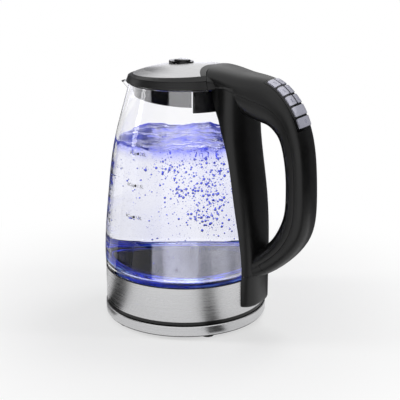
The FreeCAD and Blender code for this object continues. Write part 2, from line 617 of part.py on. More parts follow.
def make_lid():
    shell = in_lid(lid_form(0.0, LID_CREASE).cut(lid_form(LID_WALL)))
    shell = shell.cut(plate_outline(SNUG).cut(dome(-PLATE_THICKNESS - 0.05)))
    plate = plate_outline(0.0).common(dome(0.05)).cut(dome(-PLATE_THICKNESS))

    # Skirt: a turned band with a slanting lower edge, open towards the handle
    skirt_top = Z_LID + 2.6
    fall = math.tan(math.radians(SKIRT_SLOPE))
    low_front = Z_LID - SKIRT_FRONT
    skirt = ring(SKIRT_RADIUS, SKIRT_RADIUS - SKIRT_THICKNESS, Z_RIM - 45, skirt_top)
    edge = SKIRT_RADIUS + 5
    under = [(-edge, low_front + 5 * fall), (edge, low_front - (edge + SKIRT_RADIUS) * fall),
             (edge, Z_RIM - 60), (-edge, Z_RIM - 60)]
    skirt = skirt.cut(prism_xz(under, BIG))
    reach = 2 * SKIRT_RADIUS
    spread = reach * math.tan(math.radians(SKIRT_OPEN_ANGLE))
    wedge = Part.makePolygon([V(0, 0, Z_RIM - 60), V(reach, -spread, Z_RIM - 60),
                              V(reach, spread, Z_RIM - 60), V(0, 0, Z_RIM - 60)])
    skirt = in_lid(skirt.cut(Part.Face(wedge).extrude(V(0, 0, 120))), 1.2)

    inner_low = Z_LID - 2.2
    inner_top = Z_LID + 0.4
    panel_radius = SKIRT_RADIUS - SKIRT_THICKNESS - SNUG
    panel = in_lid(Part.makeCylinder(panel_radius, inner_top - inner_low, V(0, 0, inner_low)), 0.9)
    seal_top = Z_LID + 3.0
    lean = RIM_TAPER * LID_RADIUS * math.tan(math.radians(LID_TILT))
    seal_out = LID_RADIUS - LID_WALL - RIM_TAPER * (seal_top - Z_LID) - lean - SLIP
    seal_foot = Z_RIM + SLIP
    seal = lathe([(SKIRT_RADIUS + SNUG, seal_foot), (seal_out, seal_foot), (seal_out, seal_top),
                  (seal_out - LIP_SEAL, seal_top), (seal_out - LIP_SEAL, seal_foot + LIP_SEAL),
                  (SKIRT_RADIUS + SNUG, seal_foot + LIP_SEAL)])
    seal = in_lid(seal, 1.2)

    screws = []
    for x, y in ((-32, 0), (6, -36), (6, 36)):
        head_low = inner_low + PILOT
        post = upright(SCREW_POST, x, y, inner_top, Z_LID_TOP).common(dome(-LID_WALL + 0.3))
        shell = join([shell, post]).cut(thread_hole(x, y, inner_top - 1, inner_top + 6))
        panel = panel.cut(screw_seat(x, y, inner_low - 1, head_low, inner_top + 1))
        screws.append(screw(x, y, head_low, inner_top + 5))

    # Release button in its bezel, with its spring on a guide post
    bezel_length = BUTTON_LENGTH + 2 * BEZEL_RIM
    bezel_width = BUTTON_WIDTH + 2 * BEZEL_RIM
    well = oval(BUTTON_LENGTH + 2 * SLIP, BUTTON_WIDTH + 2 * SLIP, BUTTON_AT, Z_LID, Z_LID_TOP + 9)
    bezel = oval(bezel_length, bezel_width, BUTTON_AT, Z_LID_TOP - 6, Z_LID_TOP + BEZEL_PROUD)
    bezel = bezel.cut(dome(0.1)).cut(well)
    button_low = Z_LID_TOP - BUTTON_DEPTH
    button_top = Z_LID_TOP + BUTTON_PROUD
    button = oval(BUTTON_LENGTH, BUTTON_WIDTH, BUTTON_AT, button_low, button_top)
    rims = [edge for edge in button.Edges if edge.BoundBox.ZMin > button_top - 0.01]
    button = button.makeFillet(1.0, rims)
    # Thumb step on the front of the button
    button = button.cut(box(BUTTON_AT - BUTTON_LENGTH, BUTTON_AT - BUTTON_LENGTH * 0.22, -BIG, BIG,
                            button_top - 1.2, button_top + 1))
    post_top = button_low - BUTTON_TRAVEL - 2.0
    panel = join([panel, upright(1.6, BUTTON_AT, 0, inner_top - 0.5, post_top)])
    spring = ring(3.0, 1.9, inner_top, button_low - BUTTON_TRAVEL - SNUG)
    spring.translate(V(BUTTON_AT, 0, 0))

    # Latch bar: a ramp under the button draws it forwards as the button goes down
    bar_low = inner_top + SLIP
    bar_top = bar_low + 3.0
    ramp_x = BUTTON_AT + 6.6
    ramp_top = button_low - BUTTON_TRAVEL - 0.5
    climb = ramp_top - bar_top
    tip = LID_SEAM_NOSE - SEAM - 0.9
    latch = prism_xz([(ramp_x - 1.0, bar_low), (tip, bar_low), (tip, bar_top), (ramp_x + climb, bar_top),
                      (ramp_x, ramp_top), (ramp_x - 1.0, ramp_top)], 4.0)
    finger_x = BUTTON_AT + BUTTON_LENGTH / 2 - 1.2
    gap_x = ramp_x + 0.5
    finger_low = ramp_top - (finger_x - gap_x)
    finger = prism_xz([(gap_x, ramp_top), (finger_x, finger_low), (finger_x, button_low + 0.5),
                       (gap_x, button_low + 0.5)], 3.0)
    button = join([button, finger])

    nodes["lid_shell"] = shell.cut(well)
    nodes["lid_plate"] = plate.cut(well)
    nodes["lid_skirt"] = skirt
    nodes["lid_inner"] = panel
    nodes["lid_seal"] = seal
    nodes["lid_screws"] = Part.makeCompound(screws)
    nodes["button_bezel"] = bezel
    nodes["lid_button"] = button
    nodes["button_spring"] = spring
    nodes["lid_latch"] = latch
    return inner_low


def make_hinge(arm_top):
    """Swan-neck arm below the head, with its pin and spring."""
    half = HINGE_ARM_WIDTH / 2
    low = Z_HINGE - HINGE_ARM_DEPTH
    bar = HINGE_ARM_BAR
    front = HINGE_ARM_FRONT
    leg = X_HINGE - HINGE_KNUCKLE - 0.3
    rise = 6.5
    arm = prism_xz([(front, arm_top), (front, low + rise), (leg, low), (leg, Z_HINGE - 3.2),
                    (X_HINGE, Z_HINGE - HINGE_KNUCKLE), (X_HINGE, Z_HINGE + HINGE_KNUCKLE),
                    (X_HINGE - 3.0, Z_HINGE + 3.0), (leg - bar, Z_HINGE - 3.5), (leg - bar, low + bar + 2.2),
                    (front + bar, low + rise + bar), (front + bar, arm_top)], half)
    knuckle = rod(HINGE_KNUCKLE, V(X_HINGE, -half, Z_HINGE), V(X_HINGE, half, Z_HINGE))
    bore = rod(HINGE_PIN + SNUG, V(X_HINGE, -BIG, Z_HINGE), V(X_HINGE, BIG, Z_HINGE))
    nodes["lid_hinge_arm"] = join([arm, knuckle]).cut(bore)
    lug_in = half + HINGE_SPRING
    end = lug_in + LUG_WIDTH
    nodes["hinge_pin"] = rod(HINGE_PIN, V(X_HINGE, -end, Z_HINGE), V(X_HINGE, end, Z_HINGE))
    sleeve = rod(3.4, V(X_HINGE, half + 0.4, Z_HINGE), V(X_HINGE, lug_in - 0.4, Z_HINGE))
    nodes["hinge_spring"] = sleeve.cut(rod(HINGE_PIN + 0.2, V(X_HINGE, 0, Z_HINGE), V(X_HINGE, BIG, Z_HINGE)))
    lugs = []
    for side in (-1, 1):
        y0, y1 = sorted((side * lug_in, side * end))
        lugs.append(box(X_HINGE - 4.5, X_HINGE + 4.5, y0, y1, Z_LID + SNUG, Z_HINGE + 4.5))
    return lugs, bore


def stations():
    """Grip stations as outer point, inner point and half width, from the lid round to the column.

    Further stations lie between the listed ones, on smooth curves.
    """
    outers, inners, halves = [], [], []
    for group, x0, z0 in ((HEAD_STATIONS, LID_RADIUS, Z_RIM), (UPPER_STATIONS, JUG_RADIUS, Z_RIM),
                          (LOWER_STATIONS, JUG_RADIUS, Z_BAND_TOP)):
        for (ox, oz), (ix, iz), half in group:
            outers.append(V(x0 + ox, 0, z0 + oz))
            inners.append(V(x0 + ix, 0, z0 + iz))
            halves.append(V(half, 0, len(halves)))
    curves = []
    for points in (outers, inners, halves):
        curve = Part.BSplineCurve()
        curve.interpolate(Points=points, Parameters=[float(i) for i in range(len(points))])
        curves.append(curve)
    marks = [i / GRIP_STEPS for i in range((len(outers) - 1) * GRIP_STEPS + 1)]
    return [(curves[0].value(at), curves[1].value(at), curves[2].value(at).x) for at in marks]


def round_wire(middle, along, across, half_along, half_across):
    """Closed rounded section, a superellipse about a middle point, as an upper and a lower edge."""
    steps = 8
    edges = []
    for side in (1, -1):
        points = []
        for i in range(steps + 1):
            angle = math.pi * i / steps
            c, s = round(math.cos(angle), 9), round(math.sin(angle), 9)
            u = side * half_along * abs(s) ** (2 / GRIP_ROUNDNESS)
            v = side * half_across * math.copysign(abs(c) ** (2 / GRIP_ROUNDNESS), c)
            points.append(middle + along * u + across * v)
        curve = Part.BSplineCurve()
        curve.interpolate(points)
        edges.append(curve.toShape())
    return Part.Wire(edges)


def grip(offset):
    """Grip as one smooth body, moved outwards by a thickness."""
    wires = []
    for outer, inner, half in stations():
        middle = (outer + inner) * 0.5
        reach = outer - inner
        wires.append(round_wire(middle, reach.normalize(), Y_AXIS, (outer - inner).Length / 2 + offset,
                                half + offset))
    return Part.makeLoft(wires, True, True)


def column_section(z, out, half):
    """Section of the strap at one height: outer face beyond the jug's radius, and half width."""
    return round_wire(V(JUG_RADIUS + out - COLUMN_DEPTH, 0, z), X_AXIS, Y_AXIS, COLUMN_DEPTH, half)


def column():
    """Strap that runs up the back of the glass."""
    rows = [V(Z_BAND_TOP + z, out, half) for z, out, half in COLUMN_LOW]
    rows += [V(Z_RIM + z, out, half) for z, out, half in COLUMN_HIGH]
    wires = [column_section(row.x, row.y, row.z) for row in spline(rows).discretize(COLUMN_SECTIONS)]
    return Part.makeLoft(wires, True, True)


def foot_block(top):
    """Lowest stretch of the strap, a block of its own with a rounded lower edge."""
    up, out, half = COLUMN_LOW[0]
    steps = 3
    wires = []
    for i in range(steps + 1):
        angle = math.pi / 2 * i / steps
        inset = FOOT_BLOCK_EDGE * (1 - math.sin(angle))
        rise = FOOT_BLOCK_EDGE * (1 - math.cos(angle))
        wires.append(column_section(Z_BAND_TOP + up + rise, out - inset, half - inset))
    up, out, half = COLUMN_LOW[1]
    wires.append(column_section(top, out, half))
    return Part.makeLoft(wires, True, True)


def seam_side(shift):
    """Everything outside the grip's middle line, as far down as the cover goes."""
    rows = stations()[:COVER_END_STATION * GRIP_STEPS + 1]
    line = []
    for outer, inner, half in rows:
        reach = outer - inner
        line.append((outer + inner) * 0.5 + reach.normalize() * shift)
    last_out = rows[-1][0] - rows[-1][1]
    drop = V(last_out.z, 0, -last_out.x).normalize() * shift
    line[-1] = line[-1] - drop
    start = line[0] + V(-40, 0, 0)
    finish = line[-1] + last_out.normalize() * 60
    above = Z_LID_TOP + 90
    far = [finish, V(BIG, 0, finish.z), V(BIG, 0, above), V(start.x, 0, above), start, line[0]]
    loop = Part.Wire([spline(line)] + chain([line[-1]] + far))
    face = Part.Face(loop)
    face.translate(V(0, -BIG / 2, 0))
    return face.extrude(V(0, BIG, 0))


def harness_path(end):
    """Wire route to the key board: straight runs joined by tangent arcs, all in the plane of the handle."""
    behind = [JUG_RADIUS - lost + HARNESS_BEHIND_GLASS for lost, up in GLASS_PROFILE]
    levels = [Z_BAND_TOP + up for lost, up in GLASS_PROFILE]
    outside = BAND_RADIUS + HARNESS_BEHIND_GLASS
    first = BOARD_END - BOARD_POST_INSET
    turn_z = Z_BAND + 14.5
    route = [(first, Z_STRIPE_TOP + 6.0), (first, turn_z), (outside, turn_z), (outside, levels[0])]
    route += list(zip(behind[1:], levels[1:]))
    route += [(NECK_RADIUS + 16.0, Z_RIM - 8.0), (end.x - 12.0, end.z - 9.0), (end.x, end.z)]
    corners = [V(x, 0, z) for x, z in route]
    edges = []
    start = corners[0]
    for before, here, after in zip(corners, corners[1:], corners[2:]):
        back = (before - here)
        ahead = (after - here)
        shorter = min(back.Length, ahead.Length)
        turn = math.pi - back.getAngle(ahead)
        radius = 0.45 * shorter / math.tan(turn / 2)
        cut = 0.45 * shorter
        enter = here + back.normalize() * cut
        leave = here + ahead.normalize() * cut
        bisector = ((enter - here) + (leave - here)).normalize()
        centre = here + bisector * math.hypot(radius, cut)
        middle = centre - bisector * radius
        edges.append(Part.makeLine(start, enter))
        edges.append(Part.Arc(enter, middle, leave).toShape())
        start = leave
    edges.append(Part.makeLine(start, corners[-1]))
    return Part.Wire(edges)


def along_path(path, radius):
    """Round tube along a path."""
    start = path.Vertexes[0].Point
    circle = Part.Wire([Part.makeCircle(radius, start, Z_AXIS)])
    return path.makePipe(Part.Face(circle))


def keypad_curve():
    """Outer edge of the grip as a curve with length marks."""
    return spline([outer for outer, inner, half in stations()])


def keypad_frame(curve, distance):
    """Point on the grip's outer edge at a distance along it, its direction and its outward normal."""
    at = curve.getParameterByLength(distance)
    point = curve.valueAt(at)
    along = curve.tangentAt(at)
    return point, along, V(-along.z, 0, along.x)


def keypad_slab(curve, start, end, half_width, up, down):
    """Slab across the grip that follows its outer edge between two distances."""
    count = 9
    top, bottom = [], []
    for i in range(count):
        point, along, normal = keypad_frame(curve, start + (end - start) * i / (count - 1))
        top.append(point + normal * up)
        bottom.append(point - normal * down)
    outline = top + bottom[::-1]
    return prism_xz([(p.x, p.z) for p in outline], half_width)


def key_block(curve, distance, y0, y1, up, down, grow):
    """Block square to the grip at one key, with rounded corners."""
    point, along, normal = keypad_frame(curve, distance)
    length = KEY_LENGTH + 2 * grow
    block = Part.makeBox(length, y1 - y0 + 2 * grow, up + down, V(-length / 2, y0 - grow, -down))
    corners = [edge for edge in block.Edges if abs(edge.tangentAt(edge.FirstParameter).z) > 0.9]
    block = block.makeFillet(KEY_CORNER + grow, corners)
    turn = FreeCAD.Rotation(along, Y_AXIS, normal, "ZXY")
    block.Placement = FreeCAD.Placement(point, turn)
    return block


def make_keypad():
    """Bezel, keys, switches and board on the grip; returns the opening for the cover."""
    curve = keypad_curve()
    rows = KEY_ROWS_OF_TWO + KEY_WIDE_ROWS
    start = KEYPAD_START
    end = start + rows * KEY_PITCH + 2 * KEYPAD_MARGIN - KEY_GAP
    inside = KEYPAD_HALF_WIDTH - PANEL_RAIL
    skin = grip(0.0)
    under_panel = grip(-PANEL_THICKNESS)
    proud = grip(KEY_PROUD)
    key_back = grip(-KEY_DEPTH)
    panel = keypad_slab(curve, start, end, KEYPAD_HALF_WIDTH, 8, 14).common(skin)
    panel = panel.cut(grip(-BOARD_DEPTH - KEY_BOARD - 0.2))
    panel = panel.cut(keypad_slab(curve, start - 2, end + 2, inside, 8, 20).common(under_panel))
    board = keypad_slab(curve, start + 1, end - 1, inside - 0.2, 8, 16)
    board = board.common(grip(-BOARD_DEPTH)).cut(grip(-BOARD_DEPTH - KEY_BOARD))

    places = []
    key_edge = inside - 0.2
    for row in range(rows):
        distance = start + KEYPAD_MARGIN + KEY_PITCH * row + KEY_LENGTH / 2
        if row < KEY_ROWS_OF_TWO:
            places += [(distance, -key_edge, -KEY_GAP / 2), (distance, KEY_GAP / 2, key_edge)]
        else:
            places.append((distance, -key_edge, key_edge))

    switches = []
    for number, (distance, y0, y1) in enumerate(places, 1):
        panel = panel.cut(key_block(curve, distance, y0, y1, 10, KEY_WELL, SLIP))
        key = key_block(curve, distance, y0, y1, 10, 8, 0.0).common(proud).cut(key_back)
        nodes["key_%d" % number] = key
        point, along, normal = keypad_frame(curve, distance)
        middle = (y0 + y1) / 2
        pad = Part.makeBox(SWITCH_SIZE, SWITCH_SIZE, BOARD_DEPTH - SWITCH_TOP - SWITCH_SEAT,
                           V(-SWITCH_SIZE / 2, middle - SWITCH_SIZE / 2, SWITCH_SEAT - BOARD_DEPTH))
        pad.Placement = FreeCAD.Placement(point, FreeCAD.Rotation(along, Y_AXIS, normal, "ZXY"))
        switches.append(pad)
    nodes["key_panel"] = panel
    nodes["key_board"] = board
    nodes["key_switches"] = Part.makeCompound(switches)
    return keypad_slab(curve, start - SLIP, end + SLIP, KEYPAD_HALF_WIDTH + SLIP, 10, 16)


def make_handle(lugs, bore):
    room = jug_body(-COLUMN_CLEARANCE, Z_KETTLE - 5, BAND_RADIUS + COLUMN_CLEARANCE, Z_LID)
    room = room.fuse(Part.makeCylinder(LID_RADIUS - 0.4, LID_GAP + 0.2, V(0, 0, Z_RIM - 0.2 + SNUG)))
    lens = lid_form(0.0, 0.0, 180.0).common(head_space(0.0))
    strap = column()
    block_top = Z_BAND_TOP + FOOT_BLOCK_TOP
    block = foot_block(block_top).cut(room)
    below = box(0, JUG_RADIUS + COLUMN_LOW[1][1] + SEAM, -BIG, BIG, 0, block_top + SEAM)

    lid_side = box(-BIG, X_HINGE, -BIG, BIG, Z_RIM - 30, Z_LID_TOP + 60).cut(head_space(0.0))
    cavity_side = box(-BIG, X_HINGE, -BIG, BIG, Z_RIM - 30, Z_LID_TOP + 60).cut(head_space(-3.0))
    outer = grip(0.0).fuse(strap).cut(lid_side).cut(below)
    hollow = grip(-HANDLE_WALL).cut(cavity_side)
    hollow = cut_all(hollow, [box(-BIG, JUG_RADIUS + 11, -BIG, BIG, 0, Z_RIM - 40),
                              box(-BIG, NECK_RADIUS + 6, -BIG, BIG, 0, Z_LID + HANDLE_WALL)])
    slot_half = HINGE_ARM_WIDTH / 2 + 1.2
    slot_top = Z_HINGE + HINGE_KNUCKLE + 1.2
    arm_slot = box(10, X_HINGE - 2, -slot_half, slot_half, Z_RIM - 30, slot_top)
    spring_end = HINGE_ARM_WIDTH / 2 + HINGE_SPRING
    knuckle_room = box(X_HINGE - 6, X_HINGE + HINGE_KNUCKLE + 0.6, -slot_half, spring_end, Z_LID - 1, slot_top)

    body = outer.fuse(lens).cut(room)
    body = cut_all(body, [hollow, arm_slot, knuckle_room])
    point, along, normal = keypad_frame(keypad_curve(), KEYPAD_START + KEY_PITCH)
    path = harness_path(point - normal * (BOARD_DEPTH + KEY_BOARD + HARNESS_RADIUS))
    bore_tube = along_path(path, HARNESS_BORE)
    nodes["wire_harness"] = along_path(path, HARNESS_RADIUS)
    opening = make_keypad()

    cover = body.common(seam_side(SEAM / 2)).cut(opening)
    frame = body.cut(seam_side(-SEAM / 2)).cut(bore_tube)
    for lug in lugs:
        b = lug.BoundBox
        cover = cover.cut(box(b.XMin - SLIP, b.XMax + SLIP, b.YMin - SLIP, b.YMax + SLIP,
                              b.ZMin - SLIP, b.ZMax + SLIP))
    frame = frame.fuse(lugs[0]).fuse(lugs[1]).cut(bore)
    nodes["handle_cover"] = largest(cover)
    nodes["handle_frame"] = largest(frame)
    nodes["handle_foot"] = largest(block.cut(bore_tube))
    nodes["steel_band"] = nodes["steel_band"].cut(bore_tube)


def make_foot_screws():
    """Screws from inside the steel band into the foot of the handle."""
    z = Z_BAND + FOOT_SCREW_HEIGHT
    seat = math.sqrt(BAND_INSIDE ** 2 - (FOOT_SCREW_SPREAD + SCREW_HEAD) ** 2) - PILOT
    tip = JUG_RADIUS + COLUMN_LOW[0][1] - 3.0
    screws = []
    for y in (-FOOT_SCREW_SPREAD, FOOT_SCREW_SPREAD):
        back, neck, point = V(seat - SCREW_HEAD_HEIGHT, y, z), V(seat, y, z), V(tip, y, z)
        screws.append(rod(SCREW_HEAD, back, neck).fuse(rod(SCREW_RADIUS, neck, point)))
        nodes["steel_band"] = nodes["steel_band"].cut(rod(SCREW_RADIUS + SLIP, back, point))
        nodes["handle_foot"] = nodes["handle_foot"].cut(rod(SCREW_RADIUS + PILOT, back, point + X_AXIS * 0.5))
    nodes["handle_screws"] = Part.makeCompound(screws)


def make_rim_clip():
    """Bracket that holds the glass rim to the handle, with its screws."""
    half = HINGE_ARM_WIDTH / 2 + 1.4
    wall_out = NECK_RADIUS - GLASS_WALL - SLIP
    wall_in = wall_out - CLIP_WALL
    flange_in = wall_in - CLIP_FLANGE
    flange_out = LID_RADIUS - 1.2
    low = Z_RIM - CLIP_DEPTH
    flange_low = Z_RIM + SLIP
    flange_top = Z_LID - 0.2
    clip = lathe([(wall_in, low), (wall_out, low), (wall_out, flange_low), (flange_out, flange_low),
                  (flange_out, flange_top), (flange_in, flange_top), (flange_in, flange_low),
                  (wall_in, flange_low)], 2 * CLIP_ANGLE, -CLIP_ANGLE)
    wall_top = Z_RIM - 1.0
    wings = lathe([(wall_in, low), (wall_out, low), (wall_out, wall_top), (wall_in, wall_top)],
                  2 * CLIP_WALL_ANGLE, -CLIP_WALL_ANGLE)
    clip = clip.fuse(wings)
    clip = clip.cut(box(0, wall_out, -half, half, 0, BIG * 2))
    screws = []
    circle = (wall_in + flange_in) / 2
    angle = math.radians(CLIP_SCREW_ANGLE)
    for x, y in ((circle * math.cos(a), circle * math.sin(a)) for a in (-angle, angle)):
        boss_top = Z_LID + 5.6
        boss = upright(SCREW_POST - 0.4, x, y, Z_LID + SNUG, boss_top)
        frame = nodes["handle_frame"].fuse(boss)
        nodes["handle_frame"] = frame.cut(thread_hole(x, y, Z_LID - 1, boss_top - 0.6))
        clip = clip.cut(upright(SCREW_RADIUS + SLIP, x, y, flange_low - 1, Z_LID))
        screws.append(screw(x, y, flange_low - SCREW_HEAD_HEIGHT, boss_top - 1))
    nodes["rim_clip"] = clip
    nodes["clip_screws"] = Part.makeCompound(screws)


seat_level = make_power_base()
socket_outside, socket_ceiling = make_connector(seat_level)
make_kettle_foot(socket_outside, socket_ceiling)
make_glass_jug()
arm_seat = make_lid()
hinge_lugs, hinge_bore = make_hinge(arm_seat)
make_handle(hinge_lugs, hinge_bore)
make_foot_screws()
make_rim_clip()

os.makedirs("parts", exist_ok=True)
for name, shape in nodes.items():
    shape.translate(V(-X_MIDDLE, 0, 0))
    shape.exportStep("parts/%s.step" % name)
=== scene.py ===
"""Glass electric kettle on its power base: finishes, printed marks, water and a white photo table."""

import json
import math
import random

import bmesh
import bpy
from bpy.props import FloatProperty, FloatVectorProperty, IntProperty, PointerProperty
from mathutils import Matrix, Vector
from mathutils.bvhtree import BVHTree

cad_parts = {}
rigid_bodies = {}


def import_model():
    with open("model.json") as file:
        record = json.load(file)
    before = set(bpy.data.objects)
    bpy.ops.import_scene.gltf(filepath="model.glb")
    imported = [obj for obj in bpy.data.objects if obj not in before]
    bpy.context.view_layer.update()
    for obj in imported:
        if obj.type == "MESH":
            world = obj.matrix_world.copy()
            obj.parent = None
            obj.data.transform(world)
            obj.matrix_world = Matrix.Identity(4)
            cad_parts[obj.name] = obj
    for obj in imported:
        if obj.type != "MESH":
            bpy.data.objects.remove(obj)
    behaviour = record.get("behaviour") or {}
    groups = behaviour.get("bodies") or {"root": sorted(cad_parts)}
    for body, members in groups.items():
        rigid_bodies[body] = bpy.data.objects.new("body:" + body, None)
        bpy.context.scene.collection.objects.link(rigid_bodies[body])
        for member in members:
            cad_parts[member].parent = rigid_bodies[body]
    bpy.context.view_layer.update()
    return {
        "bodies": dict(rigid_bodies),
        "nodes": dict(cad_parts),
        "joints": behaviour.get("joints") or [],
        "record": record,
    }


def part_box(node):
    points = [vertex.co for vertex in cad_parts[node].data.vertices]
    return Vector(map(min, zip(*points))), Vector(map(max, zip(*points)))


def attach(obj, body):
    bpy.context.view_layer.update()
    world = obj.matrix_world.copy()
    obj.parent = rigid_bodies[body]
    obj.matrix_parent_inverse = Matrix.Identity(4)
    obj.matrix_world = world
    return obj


bl_info = {
    "name": "Glass Kettle",
    "version": (1, 0, 0),
    "blender": (4, 5, 0),
    "location": "View3D > Sidebar > Kettle",
    "description": "Dresses the packed glass kettle and sets its photo table",
    "category": "Object",
}

MM = 0.001
GLASS_IOR = 1.47
SILICONE_IOR = 1.41
WATER_IOR = 1.333
# How much of the room glass and water mirror
GLARE = (0.35, 0.35, 0.35, 1.0)
INK_THICKNESS = 0.05 * MM
BLANK_KEY = "key_7"
POWER_KEY = "key_8"
# Size of a font over the height of its capitals
FONT_PER_CAPITAL = 1.4
# Clouds of bubbles: direction about the jug's axis in degrees, distance from it and share of the depth
CLOUDS = ((-38, 0.040, 0.93), (-22, 0.046, 0.80), (-36, 0.046, 0.70), (-26, 0.050, 0.60), (-44, 0.048, 0.50),
          (-33, 0.052, 0.42), (-72, 0.044, 0.84), (-62, 0.050, 0.66))

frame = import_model()
NODES = frame["nodes"]
BODIES = frame["bodies"]

LOW, HIGH = (Vector(corner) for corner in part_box("base_trim_ring"))
AXIS = Vector(((LOW.x + HIGH.x) / 2, 0.0, 0.0))


class KettleFinish(bpy.types.PropertyGroup):
    """Colours of the visible surfaces."""

    plastic: FloatVectorProperty(name="Plastic", description="Satin black of the handle and the lid",
                                 subtype="COLOR", size=3, min=0, max=1, default=(0.006, 0.006, 0.0063))
    gloss: FloatVectorProperty(name="Gloss", description="Black of the button and the key panel",
                               subtype="COLOR", size=3, min=0, max=1, default=(0.004, 0.004, 0.0045))
    steel: FloatVectorProperty(name="Steel", description="Brushed steel of the band and the lid plate",
                               subtype="COLOR", size=3, min=0, max=1, default=(0.66, 0.66, 0.67))
    glass: FloatVectorProperty(name="Glass", description="Tint of the jug",
                               subtype="COLOR", size=3, min=0, max=1, default=(0.985, 0.985, 1.0))
    keys: FloatVectorProperty(name="Keys", description="Silvery lacquer of the keys",
                              subtype="COLOR", size=3, min=0, max=1, default=(0.60, 0.60, 0.70))
    light: FloatVectorProperty(name="Light", description="Colour of the light ring",
                               subtype="COLOR", size=3, min=0, max=1, default=(0.02, 0.05, 1.0))
    light_strength: FloatProperty(name="Light strength", description="Strength of the light ring",
                                  min=0, max=50, default=0.7)
    # Painted light: the water's lavender tint stands for the light ring's blue light in it.
    water: FloatVectorProperty(name="Water", description="Tint of the lit water",
                               subtype="COLOR", size=3, min=0, max=1, default=(0.87, 0.88, 1.0))


class KettleMarks(bpy.types.PropertyGroup):
    """Printed level marks."""

    angle: FloatProperty(name="Angle", description="Place of the marks round the jug",
                         subtype="ANGLE", default=math.radians(-97.0))
    text_height: FloatProperty(name="Text height", description="Height of the figures", unit="LENGTH",
                               min=0.001, max=0.01, default=0.0031)
    spacing: FloatProperty(name="Spacing", description="Distance between level marks", unit="LENGTH",
                           min=0.005, max=0.1, default=0.0294)
    lowest: FloatProperty(name="Lowest mark", description="Height of the lowest mark", unit="LENGTH",
                          min=0.06, max=0.2, default=0.1151)
    top: FloatProperty(name="Top mark", description="Height of the upper limit", unit="LENGTH",
                       min=0.06, max=0.2, default=0.1808)


class KettleWater(bpy.types.PropertyGroup):
    """Boiling water, part of the photo table only."""

    level: FloatProperty(name="Level", description="Height of the water's surface", unit="LENGTH",
                         min=0.08, max=0.2, default=0.178)
    wave: FloatProperty(name="Wave", description="Height of the waves", unit="LENGTH",
                        min=0, max=0.01, default=0.0026)
    bubbles: IntProperty(name="Bubbles", description="Number of bubbles", min=0, max=4000, default=1700)


class KettleStage(bpy.types.PropertyGroup):
    """Camera and light."""

    turn: FloatProperty(name="Turn", description="Direction of the camera about the kettle",
                        subtype="ANGLE", default=math.radians(32.0))
    distance: FloatProperty(name="Distance", description="Level distance of the camera", unit="LENGTH",
                            min=0.2, max=5, default=0.9438)
    height: FloatProperty(name="Height", description="Height of the camera", unit="LENGTH",
                          min=0, max=3, default=0.3931)
    tilt: FloatProperty(name="Tilt", description="Downward tilt of the camera", subtype="ANGLE",
                        default=math.radians(16.48))
    swing: FloatProperty(name="Swing", description="Sideways turn of the camera", subtype="ANGLE",
                         default=math.radians(-0.87))
    lens: FloatProperty(name="Lens", description="Focal length", min=20, max=200, default=90.0)


def link(obj):
    bpy.context.scene.collection.objects.link(obj)
    return obj


def mesh_object(name, verts, faces, smooth=True):
    mesh = bpy.data.meshes.new(name)
    mesh.from_pydata(verts, [], faces)
    mesh.validate()
    if smooth:
        mesh.shade_smooth()
    return link(bpy.data.objects.new(name, mesh))


def paint(obj, material):
    obj.data.materials.clear()
    obj.data.materials.append(material)


# Materials


